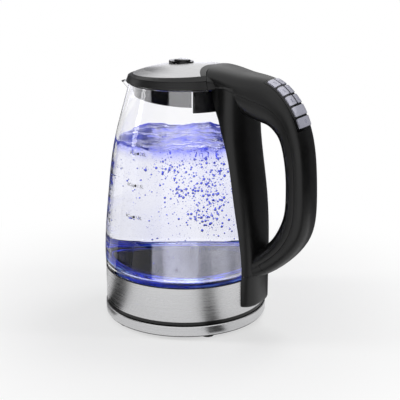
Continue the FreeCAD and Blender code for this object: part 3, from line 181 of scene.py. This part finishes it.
class Shader:
    """Node tree of one material, with short names for the nodes it needs."""

    def __init__(self, material):
        """Start a new material from its name, or go on with one that is there."""
        made = isinstance(material, str)
        self.material = bpy.data.materials.new(material) if made else material
        self.material.use_nodes = True
        self.tree = self.material.node_tree
        if made:
            self.tree.nodes.clear()
            self.node("ShaderNodeOutputMaterial")
            self.node("ShaderNodeBsdfPrincipled")
            self.node("ShaderNodeTexCoord")
        self.out, self.body, self.place = self.tree.nodes[:3]
        self.wire(self.body, "BSDF", self.out, "Surface")

    def node(self, kind, **settings):
        made = self.tree.nodes.new(kind)
        for key, value in settings.items():
            setattr(made, key, value)
        return made

    def wire(self, source, output, target, socket):
        self.tree.links.new(source.outputs[output], target.inputs[socket])

    def set(self, **values):
        for key, value in values.items():
            self.body.inputs[key.replace("_", " ")].default_value = value

    def stretched(self, scale):
        """Object coordinates scaled along each axis."""
        mapping = self.node("ShaderNodeMapping")
        mapping.inputs["Scale"].default_value = scale
        self.wire(self.place, "Object", mapping, "Vector")
        return mapping, "Vector"

    def centred(self):
        """Object coordinates from the jug's axis."""
        made = self.node("ShaderNodeVectorMath", operation="SUBTRACT")
        made.inputs[1].default_value = AXIS
        self.wire(self.place, "Object", made, 0)
        return made

    def from_axis(self):
        """Distance from the jug's axis."""
        flat = self.node("ShaderNodeVectorMath", operation="MULTIPLY")
        flat.inputs[1].default_value = (1.0, 1.0, 0.0)
        self.wire(self.centred(), "Vector", flat, 0)
        made = self.node("ShaderNodeVectorMath", operation="LENGTH")
        self.wire(flat, "Vector", made, 0)
        return made

    def round_about(self, turns, rise):
        """Coordinates that run round the upright axis and up it."""
        split = self.node("ShaderNodeSeparateXYZ")
        self.wire(self.centred(), "Vector", split, "Vector")
        angle = self.node("ShaderNodeMath", operation="ARCTAN2")
        self.wire(split, "Y", angle, 0)
        self.wire(split, "X", angle, 1)
        joined = self.node("ShaderNodeCombineXYZ")
        self.wire(angle, "Value", joined, "X")
        self.wire(self.from_axis(), "Value", joined, "Y")
        self.wire(split, "Z", joined, "Z")
        mapping = self.node("ShaderNodeMapping")
        mapping.inputs["Scale"].default_value = (turns, rise, rise)
        self.wire(joined, "Vector", mapping, "Vector")
        return mapping, "Vector"

    def noise(self, where, scale, detail=3.0, rough=0.5):
        made = self.node("ShaderNodeTexNoise")
        made.inputs["Scale"].default_value = scale
        made.inputs["Detail"].default_value = detail
        made.inputs["Roughness"].default_value = rough
        self.wire(where[0], where[1], made, "Vector")
        return made

    def ramp(self, source, output, stops):
        """Colours that follow a value, as (place, colour) stops."""
        made = self.node("ShaderNodeValToRGB")
        places = made.color_ramp.elements
        while len(places) < len(stops):
            places.new(0.5)
        for spot, (at, colour) in zip(places, stops):
            spot.position = at
            spot.color = (*colour, 1.0)
        self.wire(source, output, made, "Fac")
        return made

    def spread(self, source, low, high, first=0.3, last=0.7, output=0):
        """Stretch of a value, from first to last, laid out between low and high."""
        made = self.node("ShaderNodeMapRange")
        made.inputs["From Min"].default_value = first
        made.inputs["From Max"].default_value = last
        made.inputs["To Min"].default_value = low
        made.inputs["To Max"].default_value = high
        self.wire(source, output, made, "Value")
        return made

    def times(self, one, two):
        """Product of two output sockets."""
        made = self.node("ShaderNodeMath", operation="MULTIPLY")
        self.tree.links.new(one, made.inputs[0])
        self.tree.links.new(two, made.inputs[1])
        return made

    def bump(self, source, strength, depth=0.03 * MM):
        """Fine relief in the surface."""
        made = self.node("ShaderNodeBump")
        made.inputs["Strength"].default_value = strength
        made.inputs["Distance"].default_value = depth
        self.wire(source, 0, made, "Height")
        self.wire(made, "Normal", self.body, "Normal")
        return made

    def colour(self, source, tint, vary):
        """Base colour that varies a little about a tint."""
        dark = [max(0.0, c * (1 - vary)) for c in tint]
        light = [min(1.0, c * (1 + vary)) for c in tint]
        made = self.ramp(source, 0, [(0.3, dark), (0.7, light)])
        self.wire(made, "Color", self.body, "Base Color")
        return made


def plastic(name, tint, rough, grain=0.12, vary=0.12):
    """Moulded plastic with a fine grain."""
    s = Shader(name)
    fine = s.noise(s.stretched((1, 1, 1)), 5200.0, 2.0)
    broad = s.noise(s.stretched((1, 1, 1)), 60.0, 3.0)
    s.colour(broad, tint, vary)
    s.wire(s.spread(broad, rough - 0.04, rough + 0.04), "Result", s.body, "Roughness")
    s.bump(fine, grain, 0.04 * MM)
    s.set(IOR=1.5, Specular_IOR_Level=0.45)
    return s.material


def steel(name, tint, rough, flat=None, vary=0.08, pull=0.75):
    """Brushed steel: round about the upright axis, or along X for a flat sheet."""
    s = Shader(name)
    where = s.stretched(flat) if flat else s.round_about(1.2, 2600.0)
    lines = s.noise(where, 1.0, 4.0, 0.65)
    s.colour(lines, tint, vary)
    s.wire(s.spread(lines, rough - 0.05, rough + 0.07), "Result", s.body, "Roughness")
    s.bump(lines, 0.06)
    s.set(Metallic=1.0, Anisotropic=pull)
    tangent = s.node("ShaderNodeTangent", direction_type="RADIAL", axis="Y" if flat else "Z")
    s.wire(tangent, "Tangent", s.body, "Tangent")
    return s.material


def clear(name, tint, rough, ior, vary=0.01):
    """Clear glass or silicone with faint waviness."""
    s = Shader(name)
    wavy = s.noise(s.stretched((1, 1, 1)), 26.0, 2.0)
    s.colour(wavy, tint, vary)
    s.wire(s.spread(wavy, rough, rough + 0.012), "Result", s.body, "Roughness")
    s.set(Transmission_Weight=1.0, IOR=ior, Specular_IOR_Level=0.2, Specular_Tint=GLARE)
    return s.material


def lacquer(name, tint):
    """Silvery lacquer with fine flakes."""
    s = Shader(name)
    flakes = s.noise(s.stretched((1, 1, 1)), 2400.0, 2.0)
    s.colour(flakes, tint, 0.12)
    s.wire(s.spread(flakes, 0.26, 0.40), "Result", s.body, "Roughness")
    s.bump(flakes, 0.05)
    s.set(Metallic=0.35, Coat_Weight=0.4, Coat_Roughness=0.15)
    return s.material


def metal(name, tint, rough):
    """Plain turned or pressed metal."""
    s = Shader(name)
    grain = s.noise(s.stretched((1, 1, 1)), 900.0, 3.0)
    s.colour(grain, tint, 0.1)
    s.wire(s.spread(grain, rough - 0.06, rough + 0.08), "Result", s.body, "Roughness")
    s.bump(grain, 0.08)
    s.set(Metallic=1.0)
    return s.material


def glowing(name, tint, strength):
    """Surface that glows in soft patches, as a frosted light guide."""
    s = Shader(name)
    cells = s.noise(s.round_about(9.0, 40.0), 1.0, 2.0)
    s.colour(cells, tint, 0.3)
    glow = s.ramp(cells, 0, [(0.36, [c * 0.25 for c in tint]), (0.62, tint)])
    s.wire(glow, "Color", s.body, "Emission Color")
    s.set(Emission_Strength=strength, Roughness=0.4)
    return s.material


def soft_edges():
    """Modifier group that joins a piece's faces and keeps only its real edges sharp."""
    name = "soft_edges"
    tree = bpy.data.node_groups.get(name)
    if tree:
        return tree
    tree = bpy.data.node_groups.new(name, "GeometryNodeTree")
    tree.interface.new_socket("Geometry", in_out="INPUT", socket_type="NodeSocketGeometry")
    tree.interface.new_socket("Geometry", in_out="OUTPUT", socket_type="NodeSocketGeometry")
    nodes = tree.nodes
    start, end = nodes.new("NodeGroupInput"), nodes.new("NodeGroupOutput")
    weld = nodes.new("GeometryNodeMergeByDistance")
    weld.inputs["Distance"].default_value = 2e-6
    drop = nodes.new("GeometryNodeRemoveAttribute")
    drop.inputs["Name"].default_value = "custom_normal"
    smooth = nodes.new("GeometryNodeSetShadeSmooth")
    smooth.domain = "FACE"
    sharp = nodes.new("GeometryNodeSetShadeSmooth")
    sharp.domain = "EDGE"
    sharp.inputs["Shade Smooth"].default_value = False
    angle = nodes.new("GeometryNodeInputMeshEdgeAngle")
    test = nodes.new("FunctionNodeCompare")
    test.operation = "GREATER_THAN"
    test.inputs["B"].default_value = math.radians(24.0)
    tree.links.new(angle.outputs["Unsigned Angle"], test.inputs["A"])
    tree.links.new(test.outputs["Result"], sharp.inputs["Selection"])
    steps = [start, weld, drop, smooth, sharp, end]
    for one, two in zip(steps, steps[1:]):
        tree.links.new(one.outputs["Geometry"], two.inputs["Geometry"])
    return tree


def dress(names, material):
    """Give CAD pieces a material and even shading."""
    for name in names:
        piece = NODES[name]
        paint(piece, material)
        piece.modifiers.new("Soft edges", "NODES").node_group = soft_edges()


def slot_nodes(slot):
    """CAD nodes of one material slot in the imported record."""
    return [part["node"] for part in frame["record"]["subparts"] if part["material_slot"] == slot]


class KETTLE_OT_plastics(bpy.types.Operator):
    """Dress the black plastic pieces"""

    bl_idname = "kettle.plastics"
    bl_label = "Plastics"

    def execute(self, context):
        look = context.scene.kettle_finish
        dress(slot_nodes("black_satin"), plastic("Satin black", look.plastic, 0.36))
        dress(slot_nodes("black_matte"), plastic("Matte black", look.plastic, 0.58, 0.2))
        dress(slot_nodes("black_gloss"), plastic("Gloss black", look.gloss, 0.2, 0.03))
        dress(slot_nodes("rubber_black"), plastic("Rubber", (0.018, 0.018, 0.018), 0.75, 0.3))
        return {"FINISHED"}


class KETTLE_OT_metals(bpy.types.Operator):
    """Dress the steel band, the lid plate, screws and contacts"""

    bl_idname = "kettle.metals"
    bl_label = "Metals"

    def execute(self, context):
        look = context.scene.kettle_finish
        floor = steel("Jug floor", [c * 0.06 for c in look.steel], 0.06, pull=0.3)
        finishes_with_painted_glow = {
            # The heater plate gets a painted glow of the light ring over its steel.
            "heater_plate": self.lit(floor, look.light),
            "lid_plate": steel("Brushed sheet", look.steel, 0.30, (30.0, 2600.0, 300.0), pull=0.6),
            "lid_skirt": steel("Polished band", [c * 0.4 for c in look.steel], 0.08, pull=0.1),
        }
        for name, material in finishes_with_painted_glow.items():
            dress([name], material)
        brushed = [name for name in slot_nodes("steel") if name not in finishes_with_painted_glow]
        dress(brushed, steel("Brushed steel", look.steel, 0.27))
        dress(slot_nodes("screw_steel"), metal("Screw steel", (0.62, 0.62, 0.63), 0.3))
        dress(slot_nodes("spreader_metal"), metal("Spreader", (0.72, 0.72, 0.73), 0.45))
        dress(slot_nodes("contact_brass"), metal("Contacts", (0.78, 0.58, 0.26), 0.28))
        return {"FINISHED"}

    @staticmethod
    def lit(material, tint):
        """Steel floor with a painted glow: the light ring under it painted as emission, in navy, blue and
        sky-blue streaks towards the rim.
        """
        s = Shader(material)
        rings = s.noise(s.round_about(0.9, 420.0), 1.0, 3.0, 0.6)
        reach = s.spread(s.from_axis(), 0.0, 1.0, 20 * MM, 62 * MM, "Value")
        share = s.times(reach.outputs["Result"], rings.outputs[0])
        unlit = (0, 0, 0)
        navy = [c * 0.06 for c in tint]
        sky = (0.2, 0.4, 1.0)
        # Painted light: these stops paint the light ring's light on the floor as emission streaks, though
        # the steel does not glow.
        stops = [(0.30, unlit), (0.44, navy), (0.49, tint), (0.53, navy), (0.56, unlit), (0.62, sky)]
        glow = s.ramp(share, 0, stops)
        s.wire(glow, "Color", s.body, "Emission Color")
        s.set(Emission_Strength=0.8)
        return material


class KETTLE_OT_glass(bpy.types.Operator):
    """Dress the jug, the clear seals and the light ring"""

    bl_idname = "kettle.glass"
    bl_label = "Glass and light"

    def execute(self, context):
        look = context.scene.kettle_finish
        dress(slot_nodes("clear_glass"), clear("Jug glass", look.glass, 0.0, GLASS_IOR))
        dress(slot_nodes("seal_clear"), clear("Silicone", (0.86, 0.86, 0.86), 0.3, SILICONE_IOR, 0.04))
        dress(slot_nodes("light_guide"), glowing("Light guide", look.light, look.light_strength))
        dress(slot_nodes("board_green"), plastic("Board", (0.03, 0.16, 0.06), 0.4, 0.1, 0.25))
        dress(slot_nodes("key_silver"), lacquer("Key lacquer", look.keys))
        return {"FINISHED"}


def surface_of(name):
    """Surface of a CAD node, to be hit by rays."""
    mesh = NODES[name].data
    return BVHTree.FromPolygons([v.co for v in mesh.vertices], [p.vertices for p in mesh.polygons])


def flat_text(body, height):
    """Outline of a short text as flat vertices and faces, centred."""
    curve = bpy.data.curves.new("text", "FONT")
    curve.body = body
    curve.size = height * FONT_PER_CAPITAL
    curve.align_x = "CENTER"
    curve.align_y = "CENTER"
    curve.resolution_u = 3
    holder = link(bpy.data.objects.new("text", curve))
    bpy.context.view_layer.update()
    mesh = holder.to_mesh()
    verts = [(v.co.x, v.co.y) for v in mesh.vertices]
    faces = [tuple(p.vertices) for p in mesh.polygons]
    holder.to_mesh_clear()
    bpy.data.objects.remove(holder)
    bpy.data.curves.remove(curve)
    return verts, faces


def disc(radius, count=20):
    """Flat round spot."""
    verts = [(0.0, 0.0)]
    verts += [(radius * math.cos(2 * math.pi * i / count), radius * math.sin(2 * math.pi * i / count))
              for i in range(count)]
    faces = [(0, 1 + i, 1 + (i + 1) % count) for i in range(count)]
    return verts, faces


def arc_band(radius, width, start, end, count=28):
    """Flat band along an arc, angles in degrees."""
    verts, faces = [], []
    for i in range(count + 1):
        a = math.radians(start + (end - start) * i / count)
        for r in (radius - width / 2, radius + width / 2):
            verts.append((r * math.cos(a), r * math.sin(a)))
    for i in range(count):
        faces.append((2 * i, 2 * i + 1, 2 * i + 3, 2 * i + 2))
    return verts, faces


def bar(width, height):
    """Flat upright rectangle, centred."""
    w, h = width / 2, height / 2
    return [(-w, -h), (w, -h), (w, h), (-w, h)], [(0, 1, 2, 3)]


def gather(shapes):
    """Join flat shapes, each moved by an offset."""
    verts, faces = [], []
    for (points, polys), dx, dy in shapes:
        first = len(verts)
        verts += [(x + dx, y + dy) for x, y in points]
        faces += [tuple(first + i for i in poly) for poly in polys]
    return verts, faces


def printed(name, verts, faces, material, body):
    """Thin layer of print on a body."""
    obj = mesh_object(name, verts, faces)
    thick = obj.modifiers.new("Ink", "SOLIDIFY")
    thick.thickness = INK_THICKNESS
    thick.offset = 0.0
    paint(obj, material)
    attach(obj, body)
    return obj


class KETTLE_OT_levels(bpy.types.Operator):
    """Print the level marks on the glass"""

    bl_idname = "kettle.levels"
    bl_label = "Level marks"

    def execute(self, context):
        marks = context.scene.kettle_marks
        glass = surface_of("glass_jug")
        ink = plastic("Mark ink", (0.01, 0.01, 0.012), 0.5, 0.1)
        size = marks.text_height
        rows = [("mark_max", marks.top, [(flat_text("MAX", size), 0.0, 0.0)])]
        for number, (cups, litres) in enumerate((("4Cup", "1.0L"), ("6Cup", "1.5L"), ("8Cup", "2.0L"))):
            rows.append(("mark_%d" % (number + 1), marks.lowest + marks.spacing * number,
                         [(flat_text(cups, size), -size * 1.85, 0.0), (disc(size * 0.42), 0.0, 0.0),
                          (flat_text(litres, size), size * 1.8, 0.0)]))
        for name, height, shapes in rows:
            flat, faces = gather(shapes)
            verts = []
            for u, v in flat:
                z = height + v
                spot = self.outside(glass, marks.angle, z)
                verts.append(self.outside(glass, marks.angle + u / math.hypot(spot.x - AXIS.x, spot.y), z))
            printed(name, verts, faces, ink, "kettle")
        return {"FINISHED"}

    @staticmethod
    def outside(glass, angle, z):
        """Point just outside the glass at an angle and a height."""
        out = Vector((math.cos(angle), math.sin(angle), 0.0))
        hit = glass.ray_cast(AXIS + out * 0.2 + Vector((0, 0, z)), -out)[0]
        return hit + out * 0.08 * MM


class KETTLE_OT_legends(bpy.types.Operator):
    """Print the small legends on the keys"""

    bl_idname = "kettle.legends"
    bl_label = "Key legends"

    def execute(self, context):
        ink = plastic("Legend ink", (0.30, 0.30, 0.40), 0.5, 0.1)
        size = 2.6 * MM
        stroke = size * 0.2
        lines = gather([(bar(size, stroke), 0, size * 0.6), (bar(size * 0.7, stroke), 0, size * 0.15),
                        (bar(size, stroke), 0, -size * 0.3)])
        power = gather([(arc_band(size * 0.62, stroke, 125, 415), 0, 0),
                        (bar(stroke, size * 0.7), 0, size * 0.5)])
        for joint in frame["joints"]:
            key = joint["child"]
            if key.startswith("key_") and key != BLANK_KEY:
                number = int(key.split("_")[1])
                shape = power if key == POWER_KEY else lines
                self.stamp("legend_%d" % number, key, Vector(joint["axis"]), shape, ink)
        return {"FINISHED"}

    @staticmethod
    def stamp(name, key, inwards, shape, ink):
        """Lay a flat shape on the face of a key."""
        surface = surface_of(key)
        low, high = (Vector(corner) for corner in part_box(key))
        middle = (low + high) / 2
        out = -inwards.normalized()
        across = Vector((0, -1, 0))
        up = across.cross(out) * -1
        verts = []
        for u, v in shape[0]:
            spot = middle + across * u + up * v + out * 0.02
            hit = surface.ray_cast(spot, -out)[0]
            verts.append(hit + out * 0.04 * MM)
        printed(name, verts, shape[1], ink, key)


class KETTLE_OT_water(bpy.types.Operator):
    """Fill the jug with boiling water for the picture"""

    bl_idname = "kettle.water"
    bl_label = "Water"

    def execute(self, context):
        water = context.scene.kettle_water
        tint = context.scene.kettle_finish.water
        glass = surface_of("glass_jug")
        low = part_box("heater_plate")[1][2] - 0.1 * MM
        steps = 30
        radius = [self.inside(glass, low + (water.level - low) * i / steps) for i in range(steps + 1)]
        body = self.body(low, water, radius)
        paint(body, self.water_with_painted_light("Water", tint, water))
        bubbles = self.bubbles(low, water, radius)
        # Painted light: the bubbles are tinted blue for the light ring's blue light in them.
        paint(bubbles, clear("Bubbles", (0.16, 0.20, 0.92), 0.0, 1.0 / WATER_IOR, 0.1))
        for obj in (body, bubbles):
            obj.parent = BODIES["kettle"]
        return {"FINISHED"}

    @staticmethod
    def water_with_painted_light(name, tint, water):
        """Clear water with painted light: a painted blue and a painted blue glint in patches near its
        surface, where the light ring's light catches it, and a painted lavender haze of that light through
        the water.
        """
        s = Shader(name)
        split = s.node("ShaderNodeSeparateXYZ")
        s.wire(s.place, "Object", split, "Vector")
        wavy = s.noise(s.stretched((1, 1, 1)), 90.0, 4.0, 0.7)
        # Mask of painted light: wavy patches just under the surface.
        height = s.spread(split, 0.0, 1.0, water.level - 12 * MM, water.level + 1 * MM, "Z")
        patch = s.spread(wavy, 0.6, 1.0, 0.35, 0.6)
        painted_light_mask = s.times(height.outputs["Result"], patch.outputs["Result"])
        # Painted blue light on the surface patches.
        tone = s.ramp(painted_light_mask, 0, [(0.0, (1, 1, 1)), (1.0, (0.05, 0.06, 0.72))])
        drift = s.noise(s.stretched((1, 1, 0.5)), 22.0, 2.0)
        # Painted lavender haze of the ring's blue light through the water.
        painted_haze = s.ramp(drift, 0, [(0.38, tint), (0.62, [0.5 + 0.5 * c for c in tint])])
        mixed = s.node("ShaderNodeMix", data_type="RGBA", blend_type="MULTIPLY")
        mixed.inputs["Factor"].default_value = 1.0
        s.wire(tone, "Color", mixed, "A")
        s.wire(painted_haze, "Color", mixed, "B")
        s.wire(mixed, "Result", s.body, "Base Color")
        # Painted glint: blue emission on the surface patches, though the water is no lamp.
        painted_glint = s.ramp(painted_light_mask, 0, [(0.25, (0, 0, 0)), (0.9, (0.08, 0.10, 0.62))])
        s.wire(painted_glint, "Color", s.body, "Emission Color")
        s.set(Transmission_Weight=1.0, IOR=WATER_IOR, Roughness=0.0)
        s.set(Emission_Strength=0.45, Specular_Tint=GLARE)
        return s.material

    @staticmethod
    def inside(glass, z):
        """Inner radius of the jug at a height, a hair into the glass."""
        hit = glass.ray_cast(AXIS + Vector((0, 0, z)), Vector((0, -1, 0)))[0]
        return abs(hit.y) + 0.06 * MM

    @staticmethod
    def wave(x, y, height):
        """Height of the boiling surface over its level."""
        a = math.sin(95 * x + 38 * y + 0.6) * 0.55 + math.sin(-60 * x + 120 * y + 1.9) * 0.4
        b = math.sin(210 * x - 150 * y) * 0.28 + math.sin(330 * x + 260 * y + 2.2) * 0.18
        c = math.sin(520 * x - 610 * y + 0.4) * 0.1 + math.sin(760 * x + 340 * y) * 0.08
        return height * (a + b + c)

    def body(self, low, water, radius):
        """Closed mesh of the water: its side, the waves on top and a flat bottom."""
        around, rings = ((96, 40))
        verts, faces = [], []
        for i, r in enumerate(radius):
            z = low + (water.level - low) * i / (len(radius) - 1)
            share = max(0.0, (i - len(radius) + 6) / 5)
            for k in range(around):
                a = 2 * math.pi * k / around
                x, y = r * math.cos(a), r * math.sin(a)
                verts.append((AXIS.x + x, y, z + share * self.wave(x, y, water.wave)))
        for i in range(len(radius) - 1):
            for k in range(around):
                n = (k + 1) % around
                faces.append((i * around + k, i * around + n, (i + 1) * around + n, (i + 1) * around + k))
        last = (len(radius) - 1) * around
        for j in range(1, rings):
            r = radius[-1] * (1 - j / rings)
            for k in range(around):
                a = 2 * math.pi * k / around
                x, y = r * math.cos(a), r * math.sin(a)
                verts.append((AXIS.x + x, y, water.level + self.wave(x, y, water.wave)))
            first = len(verts) - around
            for k in range(around):
                n = (k + 1) % around
                faces.append((last + k, last + n, first + n, first + k))
            last = first
        verts.append((AXIS.x, 0, water.level + self.wave(0, 0, water.wave)))
        faces += [(last + k, last + (k + 1) % around, len(verts) - 1) for k in range(around)]
        faces.append(tuple(reversed(range(around))))
        return mesh_object("water", verts, faces)

    def bubbles(self, low, water, radius):
        """Small bubbles all over, more of them towards the surface, and clouds on the handle's side."""
        draw = random.Random(7)
        verts, faces = [], []
        depth = water.level - low
        count = water.bubbles
        for i in range(count):
            share = max(draw.random(), draw.random()) if i % 2 else draw.random()
            reach = (radius[int(share * (len(radius) - 2))] - 4 * MM) * math.sqrt(draw.random())
            turn = 2 * math.pi * draw.random()
            spot = self.spot(turn, reach, low + 4 * MM + (depth - 14 * MM) * share)
            self.ball(verts, faces, spot, (0.18 + 0.8 * draw.random() ** 8) * MM)
        spread = (6.5 * MM, 6.5 * MM, 5 * MM)
        for turn, reach, share in CLOUDS:
            middle = self.spot(math.radians(turn), reach, low + depth * share)
            for i in range(110):
                spot = middle + Vector([draw.gauss(0, 1) * size for size in spread])
                self.ball(verts, faces, spot, (0.25 + 1.2 * draw.random() ** 4) * MM)
        return mesh_object("bubbles", verts, faces)

    @staticmethod
    def spot(turn, reach, height):
        """Point at an angle about the jug's axis, a distance from it and a height."""
        return AXIS + Vector((reach * math.cos(turn), reach * math.sin(turn), height))

    @staticmethod
    def ball(verts, faces, centre, size):
        """Add one round bubble to a growing mesh."""
        work = bmesh.new()
        bmesh.ops.create_icosphere(work, subdivisions=2, radius=size, matrix=Matrix.Translation(centre))
        first = len(verts)
        work.verts.ensure_lookup_table()
        verts += [tuple(v.co) for v in work.verts]
        faces += [tuple(first + v.index for v in f.verts) for f in work.faces]
        work.free()


def seen_directly(tree):
    """Socket that is 1 for rays from the camera, a mirror or clear glass, and 0 for all others."""
    path = tree.nodes.new("ShaderNodeLightPath")
    socket = path.outputs["Is Camera Ray"]
    for kind in ("Is Glossy Ray", "Is Transmission Ray"):
        either = tree.nodes.new("ShaderNodeMath")
        either.operation = "MAXIMUM"
        tree.links.new(socket, either.inputs[0])
        tree.links.new(path.outputs[kind], either.inputs[1])
        socket = either.outputs["Value"]
    return socket


class KETTLE_OT_stage(bpy.types.Operator):
    """Set the table, the lamps and the camera"""

    bl_idname = "kettle.stage"
    bl_label = "Photo table"

    def execute(self, context):
        scene = context.scene
        self.look = scene.kettle_stage
        self.table()
        self.world(scene)
        self.lamps()
        self.cards()
        self.camera(scene)
        scene.view_settings.view_transform = "Standard"
        return {"FINISHED"}

    def around(self, degrees, distance, height):
        """Point round the kettle, counted from the camera's side to the right."""
        a = self.look.turn + math.radians(degrees)
        return AXIS + Vector((math.sin(a) * distance, -math.cos(a) * distance, height))

    def table(self):
        """White table that fades into the white room away from the kettle."""
        half = 9
        corners = [(-half, -half, 0), (half, -half, 0), (half, half, 0), (-half, half, 0)]
        floor = mesh_object("table", corners, [(0, 1, 2, 3)], False)
        s = Shader("Table")
        s.tree.nodes.remove(s.body)
        s.body = s.node("ShaderNodeBsdfDiffuse")
        cloud = s.noise(s.stretched((1, 1, 1)), 3.0, 2.0)
        tone = s.ramp(cloud, 0, [(0.3, (0.86, 0.86, 0.86)), (0.7, (0.9, 0.9, 0.9))])
        s.wire(tone, "Color", s.body, "Color")
        plain = s.node("ShaderNodeEmission")
        plain.inputs["Strength"].default_value = 1.0
        mix = s.node("ShaderNodeMixShader")
        fade = s.spread(s.from_axis(), 0.6, 1.0, 0.1, 0.36, "Value")
        fade.interpolation_type = "SMOOTHSTEP"
        share = s.times(seen_directly(s.tree), fade.outputs["Result"])
        s.wire(share, "Value", mix, "Fac")
        s.wire(s.body, "BSDF", mix, 1)
        s.wire(plain, "Emission", mix, 2)
        s.wire(mix, "Shader", s.out, "Surface")
        paint(floor, s.material)

    def world(self, scene):
        """White room, dimmer as a light than it looks."""
        world = bpy.data.worlds.new("White room")
        scene.world = world
        world.use_nodes = True
        tree = world.node_tree
        tree.nodes.clear()
        out = tree.nodes.new("ShaderNodeOutputWorld")
        mix = tree.nodes.new("ShaderNodeMixShader")
        for socket, colour, strength in ((1, (0.97, 0.98, 1.0, 1), 0.3), (2, (1, 1, 1, 1), 1.0)):
            air = tree.nodes.new("ShaderNodeBackground")
            air.inputs["Color"].default_value = colour
            air.inputs["Strength"].default_value = strength
            tree.links.new(air.outputs["Background"], mix.inputs[socket])
        tree.links.new(seen_directly(tree), mix.inputs["Fac"])
        tree.links.new(mix.outputs["Shader"], out.inputs["Surface"])

    def lamp(self, name, place, aim, width, height, power):
        """Flat lamp that no mirror shows."""
        data = bpy.data.lights.new(name, "AREA")
        data.shape = "RECTANGLE"
        data.size, data.size_y, data.energy = width, height, power
        lamp = link(bpy.data.objects.new(name, data))
        lamp.location = place
        lamp.rotation_euler = (Vector(aim) - place).to_track_quat("-Z", "Y").to_euler()
        lamp.visible_glossy = False

    def lamps(self):
        middle = AXIS + Vector((0.02, 0.0, 0.13))
        self.lamp("lamp_left", self.around(-92, 1.1, 0.6), middle, 0.22, 0.9, 7.0)
        self.lamp("lamp_right", self.around(78, 1.0, 0.5), middle, 0.12, 0.9, 3.0)
        self.lamp("lamp_top", self.around(120, 0.45, 1.1), middle, 0.35, 0.35, 3.5)

    def cards(self):
        """Cards round the kettle, which steel, glass and the jug's floor mirror as streaks and patches."""
        dark = plastic("Dark card", (0.004, 0.004, 0.004), 0.9, 0.1)
        grey = plastic("Grey card", (0.16, 0.16, 0.165), 0.9, 0.1)
        pale = glowing("Pale card", (0.9, 0.9, 1.0), 2.8)
        dim = glowing("Dim card", (0.9, 0.9, 1.0), 1.2)
        beside = (0.09, 0.5, 0.0, 0.5)
        front = (0.5, 1.2, 0.0, 0.75)
        back = (0.5, 0.5, 0.14, 0.33)
        for name, start, end, place, tone in (
                ("card_left", -100, -70, beside, dark),
                ("card_right", 17, 32, beside, dark),
                ("card_far_left", -172, -124, beside, grey),
                ("card_far_right", 96, 150, beside, grey),
                ("card_front_left", -78, -34, front, dark),
                ("card_front_right", 20, 118, front, dark),
                ("card_back_left", 125, 172, back, dark),
                ("card_back_fade", 172, 175, back, dim),
                ("card_back_middle", 175, 182.6, back, pale),
                ("card_back_right", 182.6, 210, back, dim)):
            card = self.card(name, start, end, *place)
            paint(card, tone)
            card.visible_camera = False
            card.visible_diffuse = False
            card.visible_transmission = place is not beside
            card.visible_shadow = False

    def card(self, name, start, end, near, far, low, high, steps=8):
        """Card bent round the kettle: a level strip from near to far, then upright from low to high."""
        verts, faces = [], []
        foot = low + 0.8 * MM
        wall = far + 1 * MM
        for i in range(steps + 1):
            turn = start + (end - start) * i / steps
            verts += [self.around(turn, near, foot), self.around(turn, wall, foot)]
            verts.append(self.around(turn, wall, high))
        for i in range(steps):
            for k in range(2):
                faces.append((3 * i + k, 3 * i + k + 3, 3 * i + k + 4, 3 * i + k + 1))
        return mesh_object(name, verts, faces, False)

    def camera(self, scene):
        look = self.look
        data = bpy.data.cameras.new("camera")
        data.lens, data.sensor_width = look.lens, 36.0
        camera = link(bpy.data.objects.new("camera", data))
        camera.location = self.around(0, look.distance, look.height)
        camera.rotation_euler = (math.pi / 2 - look.tilt, 0, look.turn + look.swing)
        scene.camera = camera


class KETTLE_PT_panel(bpy.types.Panel):
    """Sidebar panel of the kettle"""

    bl_idname = "KETTLE_PT_panel"
    bl_label = "Kettle"
    bl_space_type = "VIEW_3D"
    bl_region_type = "UI"
    bl_category = "Kettle"

    def draw(self, context):
        for title in GROUPS:
            group = getattr(context.scene, title)
            box = self.layout.box()
            for name in group.__annotations__:
                box.prop(group, name)
        for operator in OPERATORS:
            self.layout.operator(operator.bl_idname)


GROUPS = {"kettle_finish": KettleFinish, "kettle_marks": KettleMarks, "kettle_water": KettleWater,
          "kettle_stage": KettleStage}
OPERATORS = (KETTLE_OT_plastics, KETTLE_OT_metals, KETTLE_OT_glass, KETTLE_OT_levels, KETTLE_OT_legends,
             KETTLE_OT_water, KETTLE_OT_stage)


def register():
    for group in GROUPS.values():
        bpy.utils.register_class(group)
    for name, group in GROUPS.items():
        setattr(bpy.types.Scene, name, PointerProperty(type=group))
    for operator in OPERATORS:
        bpy.utils.register_class(operator)
    bpy.utils.register_class(KETTLE_PT_panel)


def unregister():
    bpy.utils.unregister_class(KETTLE_PT_panel)
    for operator in reversed(OPERATORS):
        bpy.utils.unregister_class(operator)
    for name, group in GROUPS.items():
        delattr(bpy.types.Scene, name)
        bpy.utils.unregister_class(group)


def main():
    register()
    bpy.ops.kettle.plastics()
    bpy.ops.kettle.metals()
    bpy.ops.kettle.glass()
    bpy.ops.kettle.levels()
    bpy.ops.kettle.legends()
    bpy.ops.kettle.water()
    bpy.ops.kettle.stage()
    bpy.context.view_layer.update()


if __name__ == "__main__":
    main()
